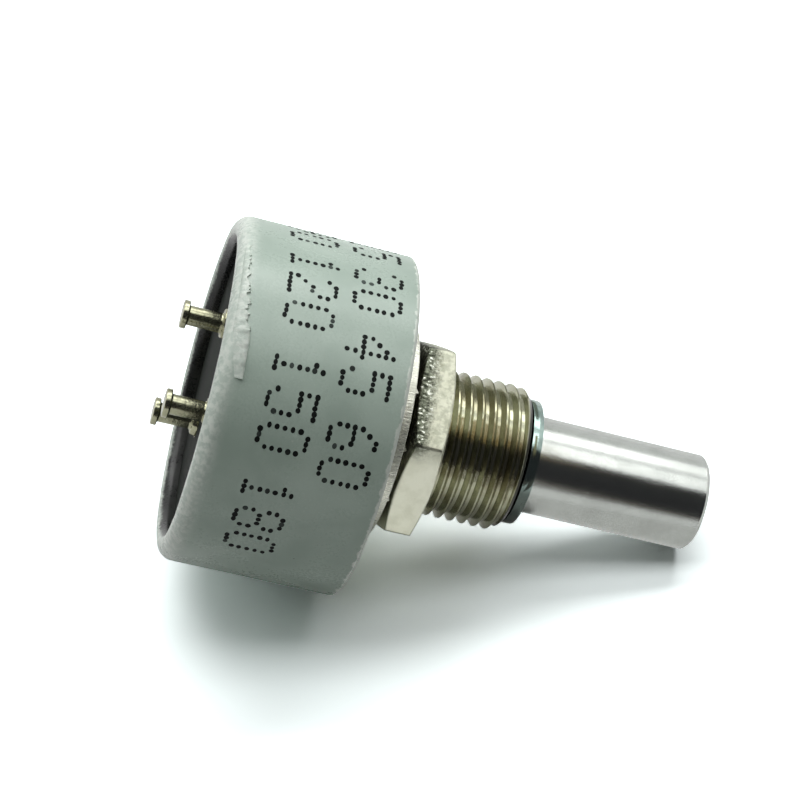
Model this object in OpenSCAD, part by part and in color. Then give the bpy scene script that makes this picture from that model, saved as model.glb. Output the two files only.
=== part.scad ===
// Panel-mount conductive plastic potentiometer, in millimetres.
// The shaft's axis is +X. The origin lies on it, at the mounting face,
// which is the front face of the case. The terminals are at the rear.

/* [Case] */
// Outer diameter of the moulded case
case_d = 22.22; // [20.4:0.01:26]
// Length of the case from the mounting face to the crest of the rolled rim
case_len = 11.4; // [10.4:0.1:16]
// Thickness of the side wall
case_wall = 1.8; // [1.4:0.1:2]
// Thickness of the front wall
front_wall = 1.9; // [1.2:0.1:2.1]
// Radius on the front edge
front_round = 0.25; // [0.1:0.05:0.6]
// Width of the rolled rim, from the outside of the case to the rear opening
rim_w = 1.6; // [1.4:0.05:2]
// Radius of the rolled rim's outer side
rim_round = 0.95; // [0.7:0.05:1.2]
// How far the rolled rim reaches over the edge of the rear cover
rim_lip = 0.5; // [0.3:0.05:0.7]

/* [Rear cover] */
// Depth of the rear cover below the crest of the rim
recess = 1; // [0.9:0.05:1.2]
// Thickness of the rear cover
cover_t = 1.3; // [1:0.1:1.6]
// Radius of the cover's central boss
boss_r = 2; // [1.6:0.1:2.2]
// Radius of the spigot on the boss
spigot_r = 0.7; // [0.5:0.1:1]

/* [Terminals] */
// Radial distance from the printed conductors in to the circle of the terminals
terminal_inset = 0.76; // [0.66:0.02:0.9]
// Angle of terminal 1 round the axis, from +Y towards +Z
terminal_1_angle = 66.4; // [50:0.1:90]
// Angle of terminal 2
terminal_2_angle = 161.4; // [145:0.1:180]
// Angle of terminal 3
terminal_3_angle = 288.4; // [270:0.1:300]
// How far the terminals stand out of the rear cover
terminal_h = 2.98; // [2.2:0.02:4.5]
// Diameter of a terminal's shank
shank_d = 1.3; // [1:0.05:1.5]
// Diameter of a terminal's head
head_d = 1.83; // [1.6:0.01:2.1]
// Thickness of a terminal's head
head_t = 0.38; // [0.25:0.01:0.6]
// Diameter of the flange that seats on the cover
base_flange_d = 2.35; // [2:0.05:2.8]
// Thickness of that flange
base_flange_t = 0.4; // [0.25:0.05:0.7]
// Diameter of the riveted end inside
rivet_d = 2; // [1.7:0.05:2.1]
// Height of the riveted end
rivet_h = 0.22; // [0.1:0.02:0.3]

/* [Bushing] */
// Major diameter of the bushing's thread
thread_d = 9.525; // [9:0.005:10]
// Length of the thread from the mounting face
thread_len = 9.525; // [8.5:0.005:12.7]
// Pitch of the thread
thread_pitch = 0.794; // [0.6:0.002:1]
// Depth of the thread
thread_depth = 0.43; // [0.3:0.01:0.45]
// Plain length between the mounting face and the thread's first groove
thread_start = 0.3; // [0.2:0.05:1.5]
// Chamfer on the end of the thread
thread_chamfer = 0.45; // [0.2:0.05:0.7]
// Chamfer on the mouth of the bushing's bore
bore_chamfer = 0.2; // [0.1:0.05:0.3]
// Diameter of the bushing's seat in the front wall
bush_seat_d = 10.8; // [10.2:0.1:12]
// Diameter of the bushing's inner flange
flange_d = 14; // [12.6:0.1:16]
// Thickness of that flange
flange_t = 0.9; // [0.7:0.1:1.3]

/* [Shaft] */
// Diameter of the shaft
shaft_d = 6.35; // [6:0.01:6.5]
// Length of the shaft in front of the mounting face
shaft_len = 22.22; // [16:0.01:50]
// Chamfer on the shaft's tip
tip_chamfer = 0.25; // [0.1:0.05:0.6]
// Radial running clearance of the shaft in the bushing
run_gap = 0.03; // [0.02:0.01:0.06]
// Length of each bearing land in the bushing
land_len = 4.5; // [3:0.1:5]
// Depth of the grease relief between the lands
relief_depth = 0.25; // [0.1:0.05:0.4]
// Diameter of the collar behind the bushing
collar_d = 8.6; // [7.6:0.1:9.6]
// Thickness of the collar
collar_t = 0.5; // [0.4:0.05:0.7]
// Diameter of the retaining ring's groove
groove_d = 5.4; // [5:0.1:5.7]
// Diameter of the rotor's seat on the shaft
rotor_seat_d = 5; // [4.6:0.1:5.6]
// Depth of the flat on the rotor's seat
seat_flat = 0.5; // [0.3:0.05:0.8]

/* [Retaining ring and thrust washers] */
// Outer diameter of the retaining ring
ring_d = 8.2; // [7.6:0.1:9]
// Thickness of the retaining ring
ring_t = 0.66; // [0.6:0.02:0.9]
// Axial gap between the retaining ring and the end of the bushing
ring_play = 0.2; // [0.05:0.01:0.25]
// Angle that the retaining ring's mouth takes
ring_mouth = 70; // [50:1:110]
// Angle of the middle of that mouth, from +Y towards +Z
ring_angle = 260; // [0:1:360]
// Radius of the small end holes in the retaining ring
ring_hole_r = 0.3; // [0.2:0.05:0.35]
// Outer diameter of the front thrust washer
thrust_d = 9.2; // [8.4:0.1:10]
// Thickness of the thrust washers
thrust_t = 0.26; // [0.2:0.02:0.36]
// Diametral clearance of the thrust washers on what they turn round
thrust_gap = 0.1; // [0.06:0.02:0.2]
// Axial play of the shaft at each thrust washer
end_play = 0.05; // [0.03:0.01:0.08]

/* [Resistive element] */
// Thickness of the plate that carries the element
base_t = 0.7; // [0.5:0.05:1]
// Radial gap between that plate and what it fits in and round
base_gap = 0.05; // [0.02:0.01:0.1]
// Thickness of the printed layers
ink_t = 0.08; // [0.04:0.02:0.12]
// Radial gap between the collector ring and the case's bore
collector_edge = 0.5; // [0.4:0.05:0.7]
// Width of the collector ring
collector_w = 0.9; // [0.8:0.05:1]
// Radial gap between the resistive track and the collector ring
ring_gap = 0.6; // [0.4:0.05:0.8]
// Width of the resistive track
track_w = 1.3; // [1.1:0.05:1.4]
// Electrical angle of the resistive track
electrical_angle = 340; // [320:1:342]
// Angle taken by each end pad of the track
end_pad_angle = 3; // [2:0.5:4]
// Radial gap between the track and the conductors from its ends
lead_gap = 0.5; // [0.3:0.05:0.6]
// Width of the printed conductors
lead_w = 0.5; // [0.3:0.05:0.6]

/* [Rotor and wiper] */
// Radial gap between the rotor's disc and the case's bore
rotor_gap = 0.4; // [0.25:0.05:0.5]
// Thickness of the rotor's disc
disc_t = 1.2; // [0.8:0.1:1.6]
// Height of the rotor's hub over its disc
hub_rise = 0.6; // [0.4:0.05:0.9]
// Diameter of the rotor's hub
hub_d = 8.4; // [7.2:0.1:9]
// Thickness of the wiper carrier
carrier_t = 0.16; // [0.1:0.02:0.3]
// Angle that the wiper carrier spans
carrier_span = 34; // [30:1:44]
// Height of the carrier over the printed layers
brush_h = 1.05; // [0.9:0.05:1.2]
// Clearance between the brushes and the printed layers
brush_gap = 0.05; // [0.02:0.01:0.1]
// Thickness of a brush finger
finger_t = 0.12; // [0.08:0.01:0.16]
// Width of a brush finger
finger_w = 0.2; // [0.14:0.01:0.22]
// Pitch of the brush fingers
finger_pitch = 0.28; // [0.26:0.01:0.3]
// Fingers on the track brush
track_fingers = 4; // [2:1:4]
// Fingers on the collector brush
collector_fingers = 3; // [2:1:3]
// Length of a brush's welded root
root_len = 1; // [0.8:0.05:1.2]
// Length of a finger from its root to its contact point
finger_len = 2.8; // [2.4:0.05:3]
// Length of a finger's upturned toe
toe_len = 0.4; // [0.2:0.05:0.5]
// Diameter of the rotor's stakes
stake_d = 0.9; // [0.7:0.05:1]

/* [Lock washer] */
// Outer diameter of the lock washer
washer_d = 14; // [13:0.1:16]
// Width of the washer's rim
washer_rim = 1.1; // [0.8:0.05:1.2]
// Thickness of the washer's sheet
washer_t = 0.8; // [0.5:0.05:0.9]
// Height of the washer over its twisted teeth
washer_h = 1.6; // [1.4:0.05:1.8]
// Number of teeth
washer_teeth = 10; // [8:1:12]
// Twist of each tooth
tooth_twist = 28; // [24:1:36]
// Radial gap between the teeth and the thread
tooth_gap = 0.2; // [0.1:0.05:0.3]

/* [Mounting nut] */
// Width across the nut's flats
nut_af = 11.9; // [11.6:0.1:14]
// Thickness of the nut
nut_t = 2.3; // [1.8:0.05:3.2]
// Angle of a corner of the nut round the axis, from +Y towards +Z
nut_angle = 24.9; // [0:0.1:60]
// How far the flat of each face stays inside the nut's flats
nut_bevel = 0.15; // [0.05:0.05:0.4]
// Slope of the bevel on each face
nut_bevel_angle = 17; // [12:1:28]
// Radial clearance of the nut on the thread's crests
nut_gap = 0.05; // [0.03:0.01:0.08]
// Countersink at each end of the nut's hole
nut_countersink = 0.3; // [0.1:0.05:0.5]
// Clearance between the case, the lock washer and the nut
seat_gap = 0.02; // [0.01:0.01:0.05]

/* [Hidden] */
$fn = 96;
case_r = case_d / 2;
bore_r = case_r - case_wall;
open_r = case_r - rim_w;
crest_r = case_r - rim_round;
rim_inner = crest_r - open_r;
cover_r = open_r + rim_lip;
shank_r = shank_d / 2;
thread_r = thread_d / 2;
collar_r = collar_d / 2;
ring_r = ring_d / 2;
shaft_r = shaft_d / 2;
groove_r = groove_d / 2;
seat_r = rotor_seat_d / 2;
rotor_r = bore_r - rotor_gap;
collector_r = bore_r - collector_edge - collector_w;
track_r = collector_r - ring_gap - track_w;
lead_r = track_r - lead_gap - lead_w;
terminal_circle_r = lead_r - terminal_inset;
hub_r = hub_d / 2;
stake_r = stake_d / 2;

// Stations along the axis, from the front wall to the rear
z_wall = -front_wall;
z_flange = z_wall - flange_t;
z_thrust = z_flange - thrust_t;
z_collar0 = z_thrust - end_play;
z_collar1 = z_collar0 - collar_t;
z_ring0 = thread_len + ring_play;
z_ring1 = z_ring0 + ring_t;
z_cover1 = recess - case_len;
z_cover0 = z_cover1 + cover_t;
z_base = z_cover0 + base_t;
z_ink = z_base + ink_t;
z_brush = z_ink + brush_gap;
z_carrier = z_ink + brush_h;
z_rotor = z_carrier + carrier_t;
z_disc = z_rotor + disc_t;
z_hub = z_disc + hub_rise;
z_boss = z_rotor - end_play - thrust_t;
z_tip = z_cover1 - terminal_h;
z_nut = washer_h + 2 * seat_gap;

// The gap in the track faces terminal 2, and the wiper rests opposite
track_gap = 360 - electrical_angle - 2 * end_pad_angle;
wiper_angle = terminal_2_angle + 180;
carrier_r0 = hub_r + 0.2;
carrier_r1 = rotor_r - 0.05;
carrier_a1 = wiper_angle - 7;
carrier_a0 = carrier_a1 - carrier_span;
stake_places = [
    [carrier_a0 + 6, carrier_r1 - 2 * stake_r],
    [carrier_a0 + 6, carrier_r0 + 2 * stake_r]
];
stake_h = 0.16;

// Turns local z into the shaft's axis, local x into +Y and local y into +Z
module axial() { rotate([90, 0, 90]) children(); }

// Puts a child on the terminals' circle
module at_terminal(a) { rotate([0, 0, a]) translate([terminal_circle_r, 0, 0]) children(); }

// Points of an arc
function arc(c, r, a0, a1, n = 10) =
    [for (i = [0:n]) let (a = a0 + (a1 - a0) * i / n) c + r * [cos(a), sin(a)]];

module disc(r, z0, z1) { translate([0, 0, z0]) cylinder(r = r, h = z1 - z0); }

module ring(r0, r1, z0, z1) {
    difference() {
        disc(r1, z0, z1);
        disc(r0, z0 - 1, z1 + 1);
    }
}

module sector(r0, r1, z0, z1, a0, a1) {
    rotate([0, 0, a0]) rotate_extrude(angle = a1 - a0)
        translate([r0, z0]) square([r1 - r0, z1 - z0]);
}

// Moulded cup with its rim rolled over the rear cover
module case() {
    color("#8d9187") axial() rotate_extrude() polygon(concat(
        [[bush_seat_d / 2, 0]],
        arc([case_r - front_round, -front_round], front_round, 90, 0),
        arc([crest_r, rim_round - case_len], rim_round, 0, -90),
        arc([crest_r, rim_inner - case_len], rim_inner, -90, -180),
        [[open_r, z_cover1], [cover_r, z_cover1], [cover_r, z_cover0],
         [bore_r, z_cover0], [bore_r, z_wall], [bush_seat_d / 2, z_wall]]));
}

// Disc behind the element, with the boss that the rear thrust washer sits on
module rear_cover() {
    color("#2f302c") axial() difference() {
        rotate_extrude() polygon([
            [0, z_cover1], [cover_r, z_cover1], [cover_r, z_cover0], [boss_r, z_cover0],
            [boss_r, z_boss], [spigot_r, z_boss],
            [spigot_r, z_boss + thrust_t / 2], [0, z_boss + thrust_t / 2]]);
        for (a = [terminal_1_angle, terminal_2_angle, terminal_3_angle])
            at_terminal(a) disc(shank_r, z_cover1 - 1, z_cover0 + 1);
    }
}

// Turret terminal riveted through the cover and the element's plate
module turret(a) {
    color("#c9c4b2") axial() at_terminal(a) rotate_extrude() polygon([
        [0, z_tip], [head_d / 2, z_tip], [head_d / 2, z_tip + head_t],
        [shank_r, z_tip + head_t], [shank_r, z_cover1 - base_flange_t],
        [base_flange_d / 2, z_cover1 - base_flange_t], [base_flange_d / 2, z_cover1],
        [shank_r, z_cover1], [shank_r, z_ink], [rivet_d / 2, z_ink],
        [rivet_d / 2 - rivet_h, z_ink + rivet_h], [0, z_ink + rivet_h]]);
}

module terminal_1() { turret(terminal_1_angle); }
module terminal_2() { turret(terminal_2_angle); }
module terminal_3() { turret(terminal_3_angle); }

// Threaded bushing held in the front wall by its flange. The thread is a row of
// grooves with 60 degree flanks and a crest an eighth of the pitch wide.
module bushing() {
    bore = shaft_r + run_gap;
    groove_w = thread_pitch * 7 / 8;
    flank_w = thread_depth * tan(30);
    grooves = floor((thread_len - thread_chamfer - thread_start) / thread_pitch);
    color("#bdb69c") axial() rotate_extrude() polygon(concat(
        [[bore, z_flange], [flange_d / 2, z_flange], [flange_d / 2, z_wall],
         [bush_seat_d / 2, z_wall], [bush_seat_d / 2, 0], [thread_r, 0]],
        [for (i = [0:grooves - 1])
            let (z = thread_start + i * thread_pitch)
            each [[thread_r, z], [thread_r - thread_depth, z + flank_w],
                  [thread_r - thread_depth, z + groove_w - flank_w], [thread_r, z + groove_w]]],
        [[thread_r, thread_len - thread_chamfer], [thread_r - thread_chamfer, thread_len],
         [bore + bore_chamfer, thread_len], [bore, thread_len - bore_chamfer]]));
}

module element_base() {
    color("#b9a77c") axial() difference() {
        ring(boss_r + base_gap, bore_r - base_gap, z_cover0, z_base);
        for (a = [terminal_1_angle, terminal_2_angle, terminal_3_angle])
            at_terminal(a) disc(shank_r, z_cover0 - 1, z_base + 1);
    }
}

module resistive_track() {
    half = track_gap / 2 + end_pad_angle;
    color("#1d1d1f") axial() sector(track_r, track_r + track_w, z_base, z_ink,
        terminal_2_angle + half, terminal_2_angle + 360 - half);
}

// Round pad that a terminal's riveted end clamps
module rivet_pad(a) { at_terminal(a) disc(rivet_d / 2, z_base, z_ink); }
module rivet_hole(a) { at_terminal(a) disc(shank_r, z_base - 1, z_ink + 1); }

module collector_ring() {
    color("#c8c8c4") axial() difference() {
        union() {
            ring(collector_r, collector_r + collector_w, z_base, z_ink);
            rotate([0, 0, terminal_2_angle]) translate([terminal_circle_r, -lead_w / 2, z_base])
                cube([collector_r + collector_w / 2 - terminal_circle_r, lead_w, ink_t]);
            rivet_pad(terminal_2_angle);
        }
        rivet_hole(terminal_2_angle);
    }
}

// Printed conductor from one end of the track to its terminal, side -1 or 1 of the gap
module track_end(a, side) {
    edge = terminal_2_angle + side * track_gap / 2;
    pad = edge + side * end_pad_angle;
    mid = (edge + pad) / 2;
    inner = lead_r + lead_w / 2;
    outer = track_r + track_w;
    color("#c8c8c4") axial() difference() {
        union() {
            translate([0, 0, z_base]) linear_extrude(ink_t) polygon([
                for (p = [[inner, edge], [outer, edge], [outer, pad], [inner, pad]])
                    p[0] * [cos(p[1]), sin(p[1])]]);
            sector(lead_r, lead_r + lead_w, z_base, z_ink, min(mid, a), max(mid, a));
            rivet_pad(a);
        }
        rivet_hole(a);
    }
}

module track_end_1() { track_end(terminal_1_angle, -1); }
module track_end_3() { track_end(terminal_3_angle, 1); }

// Flatted seat that keeps the rotor from turning on the shaft
module seat_profile(r, z0, z1) {
    difference() {
        disc(r, z0, z1);
        translate([r - seat_flat, -r, z0 - 1]) cube([r, 2 * r, z1 - z0 + 2]);
    }
}

// Shaft with a collar, two bearing lands and the retaining ring's groove
module shaft() {
    relief_r = shaft_r - relief_depth;
    color("#b3b1ab") axial() {
        rotate_extrude() polygon([
            [0, z_hub], [shaft_r, z_hub], [shaft_r, z_collar1], [collar_r, z_collar1],
            [collar_r, z_collar0], [shaft_r, z_collar0], [shaft_r, z_flange + land_len],
            [relief_r, z_flange + land_len + relief_depth],
            [relief_r, z_ring0 - land_len - relief_depth],
            [shaft_r, z_ring0 - land_len], [shaft_r, z_ring0],
            [groove_r, z_ring0], [groove_r, z_ring1], [shaft_r, z_ring1],
            [shaft_r, shaft_len - tip_chamfer], [shaft_r - tip_chamfer, shaft_len],
            [0, shaft_len]]);
        seat_profile(seat_r, z_rotor, (z_hub + z_collar1) / 2);
    }
}

// Moulded rotor with two windows and the stakes that hold the wiper carrier
module rotor() {
    color("#6f5a3c") axial() {
        difference() {
            union() {
                disc(rotor_r, z_rotor, z_disc);
                disc(hub_r, z_rotor, z_hub);
            }
            seat_profile(seat_r, z_rotor - 1, z_hub + 1);
            for (a = [60, 190])
                sector(hub_r + 0.8, rotor_r - 1, z_rotor - 1, z_disc + 1,
                    wiper_angle + a, wiper_angle + a + 110);
        }
        for (p = stake_places) rotate([0, 0, p[0]]) translate([p[1], 0, 0]) {
            disc(stake_r, z_carrier - stake_h, (z_rotor + z_disc) / 2);
            disc(1.4 * stake_r, z_carrier - stake_h, z_carrier);
        }
    }
}

module wiper_carrier() {
    color("#c6a667") axial() difference() {
        sector(carrier_r0, carrier_r1, z_carrier, z_rotor, carrier_a0, carrier_a1);
        for (p = stake_places) rotate([0, 0, p[0]]) translate([p[1], 0, 0])
            disc(stake_r, z_carrier - 1, z_rotor + 1);
    }
}

// Side of one brush finger, flat root first, then the slope and the upturned toe
module finger_side() {
    s0 = -(root_len + finger_len + toe_len) / 2;
    s1 = s0 + root_len;
    s2 = s1 + finger_len;
    s3 = s2 + toe_len;
    toe = 0.6 * toe_len;
    polygon([
        [s0, z_carrier], [s1, z_carrier], [s2, z_brush + finger_t],
        [s3, z_brush + finger_t + toe], [s3, z_brush + toe], [s2, z_brush],
        [s1, z_carrier - finger_t], [s0, z_carrier - finger_t]]);
}

// Row of fingers whose contact points lie at radius r
module brush(r, count) {
    reach = (root_len + finger_len + toe_len) / 2 - toe_len;
    mid = sqrt(r * r - reach * reach);
    width = (count - 1) * finger_pitch + finger_w;
    axial() rotate([0, 0, wiper_angle + 90]) {
        for (i = [0:count - 1])
            rotate([90, 0, 0]) translate([0, 0, mid - width / 2 + i * finger_pitch])
                linear_extrude(height = finger_w) finger_side();
        translate([-reach - toe_len, -mid - width / 2, z_carrier - finger_t])
            cube([root_len, width, finger_t]);
    }
}

module track_brush() { color("#d9d3c3") brush(track_r + track_w / 2, track_fingers); }
module collector_brush() {
    color("#d9d3c3") brush(collector_r + collector_w / 2, collector_fingers);
}

// Open ring sprung into the shaft's groove, in front of the bushing
module retaining_ring() {
    mid_r = (groove_r + ring_r) / 2;
    color("#8f9a98") axial() difference() {
        sector(groove_r, ring_r, z_ring0, z_ring1,
            ring_angle + ring_mouth / 2, ring_angle + 360 - ring_mouth / 2);
        for (side = [-1, 1])
            rotate([0, 0, ring_angle + side * (ring_mouth / 2 + 10)]) translate([mid_r, 0, 0])
                disc(ring_hole_r, z_ring0 - 1, z_ring1 + 1);
    }
}

module front_thrust_washer() {
    color("#c9a46a") axial() ring(shaft_r + thrust_gap / 2, thrust_d / 2, z_thrust, z_flange);
}

module rear_thrust_washer() {
    color("#c9a46a") axial()
        ring(spigot_r + thrust_gap / 2, boss_r, z_boss, z_boss + thrust_t);
}

// Internal-tooth lock washer, each tooth twisted out of the sheet
module lock_washer() {
    rim_r = washer_d / 2 - washer_rim;
    tooth_r = thread_r + tooth_gap;
    tooth_w = (washer_h - washer_t * cos(tooth_twist)) / sin(tooth_twist);
    color("#aeb0ab") axial() translate([0, 0, seat_gap + washer_h / 2]) {
        ring(rim_r, washer_d / 2, -washer_t / 2, washer_t / 2);
        for (i = [0:washer_teeth - 1])
            rotate([0, 0, 360 * i / washer_teeth]) rotate([tooth_twist, 0, 0])
                translate([tooth_r, -tooth_w / 2, -washer_t / 2])
                    cube([rim_r + 0.05 - tooth_r, tooth_w, washer_t]);
    }
}

// Hexagonal nut, bevelled on both faces
module mounting_nut() {
    corner = nut_af / 2 / cos(30);
    face_r = nut_af / 2 - nut_bevel;
    slope = (corner + 1 - face_r) * tan(nut_bevel_angle);
    hole = thread_r + nut_gap;
    color("#cfc8b0") axial() translate([0, 0, z_nut]) difference() {
        intersection() {
            rotate([0, 0, nut_angle]) cylinder(r = corner, h = nut_t, $fn = 6);
            rotate_extrude() polygon([
                [0, 0], [face_r, 0], [corner + 1, slope],
                [corner + 1, nut_t - slope], [face_r, nut_t], [0, nut_t]]);
        }
        rotate_extrude() polygon([
            [0, -1], [hole + nut_countersink + 1, -1], [hole, nut_countersink],
            [hole, nut_t - nut_countersink], [hole + nut_countersink + 1, nut_t + 1], [0, nut_t + 1]]);
    }
}

case();
rear_cover();
terminal_1();
terminal_2();
terminal_3();
bushing();
element_base();
resistive_track();
collector_ring();
track_end_1();
track_end_3();
shaft();
rotor();
wiper_carrier();
track_brush();
collector_brush();
retaining_ring();
front_thrust_washer();
rear_thrust_washer();
lock_washer();
mounting_nut();
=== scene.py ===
"""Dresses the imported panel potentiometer: turned metal, moulded case, dotted print and studio."""

import logging
import math
from dataclasses import dataclass
from enum import Enum
from typing import Any, Callable, Sequence

import bmesh
import bpy
from mathutils import Matrix, Vector, noise


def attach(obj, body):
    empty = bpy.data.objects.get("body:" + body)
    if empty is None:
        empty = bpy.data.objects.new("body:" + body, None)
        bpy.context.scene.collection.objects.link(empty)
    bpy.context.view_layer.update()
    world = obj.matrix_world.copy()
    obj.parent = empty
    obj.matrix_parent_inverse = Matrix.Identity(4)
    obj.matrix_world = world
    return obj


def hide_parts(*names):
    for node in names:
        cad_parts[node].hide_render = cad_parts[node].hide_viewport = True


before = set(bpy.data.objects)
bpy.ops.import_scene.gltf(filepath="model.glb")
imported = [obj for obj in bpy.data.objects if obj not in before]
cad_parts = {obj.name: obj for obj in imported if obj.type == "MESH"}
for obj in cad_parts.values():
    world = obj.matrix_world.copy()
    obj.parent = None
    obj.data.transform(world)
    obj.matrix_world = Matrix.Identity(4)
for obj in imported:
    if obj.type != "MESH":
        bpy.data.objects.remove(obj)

LOG = logging.getLogger("potentiometer")
MM = 0.001
MERGE = 1e-7
FAR = 99.0
Corner = tuple[float, float, float]
Point = tuple[float, float]
Colour = tuple[float, float, float, float]
Span = tuple[float, Point]


def tone(red: float, green: float, blue: float) -> Colour:
    """Turns a colour written in screen values from 0 to 255 into a linear colour.

    Args:
        red: Red screen value.
        green: Green screen value.
        blue: Blue screen value.

    Returns:
        The linear colour, opaque.
    """
    def linear(value: float) -> float:
        """Undoes the screen curve for one channel."""
        part = value / 255
        return part / 12.92 if part <= 0.04045 else ((part + 0.055) / 1.055) ** 2.4
    return (linear(red), linear(green), linear(blue), 1.0)


def grey(level: float) -> Colour:
    """Gives an even grey of a linear level."""
    return (level, level, level, 1.0)


def linked(name: str, data: bpy.types.ID) -> bpy.types.Object:
    """Makes an object at the origin and links it to the scene.

    Args:
        name: The object's name.
        data: Its mesh, lamp or camera.

    Returns:
        The object.
    """
    made = bpy.data.objects.new(name, data)
    bpy.context.scene.collection.objects.link(made)
    return made


class Val:
    """A socket of a node tree whose operators add Math nodes to that tree."""

    def __init__(self, graph: "Graph", socket: bpy.types.NodeSocket | None) -> None:
        """Keeps the socket and the graph that it belongs to."""
        self.graph = graph
        self.socket = socket

    def also(self, out: int | str) -> "Val":
        """Gives another output of the same node."""
        return Val(self.graph, self.graph.find(self.socket.node.outputs, out))

    def math(self, operation: str, *others: Any) -> "Val":
        """Adds a Math node with this value as its first input.

        Args:
            operation: Name of the Math node's operation.
            others: Values or numbers for the other inputs.

        Returns:
            The node's output.
        """
        return self.graph.node("ShaderNodeMath", {"operation": operation},
                               dict(enumerate((self, *others))))

    def _swapped(self, operation: str, other: Any) -> "Val":
        """Adds a Math node with this value as its second input."""
        return self.graph.node("ShaderNodeMath", {"operation": operation}, {0: other, 1: self})

    def __add__(self, other: Any) -> "Val":
        """Adds."""
        return self.math("ADD", other)

    __radd__ = __add__

    def __sub__(self, other: Any) -> "Val":
        """Takes away."""
        return self.math("SUBTRACT", other)

    def __rsub__(self, other: Any) -> "Val":
        """Takes this value away from another."""
        return self._swapped("SUBTRACT", other)

    def __mul__(self, other: Any) -> "Val":
        """Multiplies."""
        return self.math("MULTIPLY", other)

    __rmul__ = __mul__

    def __truediv__(self, other: Any) -> "Val":
        """Divides."""
        return self.math("DIVIDE", other)

    def __rtruediv__(self, other: Any) -> "Val":
        """Divides another value by this one."""
        return self._swapped("DIVIDE", other)

    def __pow__(self, other: Any) -> "Val":
        """Raises to a power."""
        return self.math("POWER", other)

    def __rpow__(self, other: Any) -> "Val":
        """Raises another value to this power."""
        return self._swapped("POWER", other)

    def __gt__(self, other: Any) -> "Val":
        """Gives 1 where this value is the greater one."""
        return self.math("GREATER_THAN", other)

    def __lt__(self, other: Any) -> "Val":
        """Gives 1 where this value is the smaller one."""
        return self.math("LESS_THAN", other)

    def between(self, low: float, high: float) -> "Val":
        """Gives 1 where this value lies between two numbers."""
        return (self > low) * (self < high)

    def clamp(self, low: Any, high: Any) -> "Val":
        """Keeps this value from low to high."""
        return self.math("MAXIMUM", low).math("MINIMUM", high)

    def step(self, low: float, high: float) -> "Val":
        """Gives a smooth step from 0 at low to 1 at high."""
        return self.graph.node("ShaderNodeMapRange", {"interpolation_type": "SMOOTHSTEP"},
                               {"Value": self, "From Min": low, "From Max": high}, "Result")


class Graph:
    """A node tree that is filled from Python expressions."""

    def __init__(self, tree: bpy.types.NodeTree) -> None:
        """Keeps the tree."""
        self.tree = tree

    @classmethod
    def fresh(cls, owner: bpy.types.Material | bpy.types.World) -> "Graph":
        """Starts an empty tree on a material or a world.

        Args:
            owner: The material or the world.

        Returns:
            The graph of its tree.
        """
        owner.use_nodes = True
        owner.node_tree.nodes.clear()
        return cls(owner.node_tree)

    @staticmethod
    def find(sockets: Any, key: int | str) -> bpy.types.NodeSocket:
        """Finds a socket of a node.

        Args:
            sockets: The node's inputs or outputs.
            key: The socket's place, identifier or name.

        Returns:
            The socket.
        """
        if isinstance(key, int):
            return sockets[key]
        for socket in sockets:
            if socket.identifier == key:
                return socket
        return sockets[key]

    def node(self, kind: str, settings: dict[str, Any] | None = None,
             inputs: dict[int | str, Any] | None = None, out: int | str = 0) -> Val:
        """Adds any node.

        Args:
            kind: The node's type.
            settings: Its properties, set first.
            inputs: Values or links, by the socket's place, identifier or name.
            out: The output that is wanted.

        Returns:
            That output.
        """
        made = self.tree.nodes.new(kind)
        for name, value in (settings or {}).items():
            setattr(made, name, value)
        for key, value in (inputs or {}).items():
            self.feed(self.find(made.inputs, key), value)
        return Val(self, self.find(made.outputs, out) if made.outputs else None)

    def feed(self, socket: bpy.types.NodeSocket, value: Any) -> None:
        """Links a value to a socket, or sets a number on it.

        Args:
            socket: The input.
            value: The value, number, colour or vector.
        """
        if isinstance(value, Val):
            self.tree.links.new(value.socket, socket)
        else:
            socket.default_value = value

    def blend(self, amount: Any, first: Any, second: Any) -> Val:
        """Mixes two colours.

        Args:
            amount: Share of the second colour.
            first: First colour.
            second: Second colour.

        Returns:
            The mixed colour.
        """
        return self.node("ShaderNodeMix", {"data_type": "RGBA", "blend_type": "MIX"},
                         {"Factor_Float": amount, "A_Color": first, "B_Color": second}, "Result_Color")

    def vector(self, operation: str, first: Any, second: Any) -> Val:
        """Adds a Vector Math node with two vectors."""
        return self.node("ShaderNodeVectorMath", {"operation": operation}, {0: first, 1: second})

    def axes(self, vector: Val) -> tuple[Val, Val, Val]:
        """Splits a vector into its three parts."""
        x = self.node("ShaderNodeSeparateXYZ", None, {0: vector})
        return x, x.also(1), x.also(2)

    def joined(self, *parts: Any) -> Val:
        """Joins up to three parts into a vector."""
        return self.node("ShaderNodeCombineXYZ", None, dict(enumerate(parts)))


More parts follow.
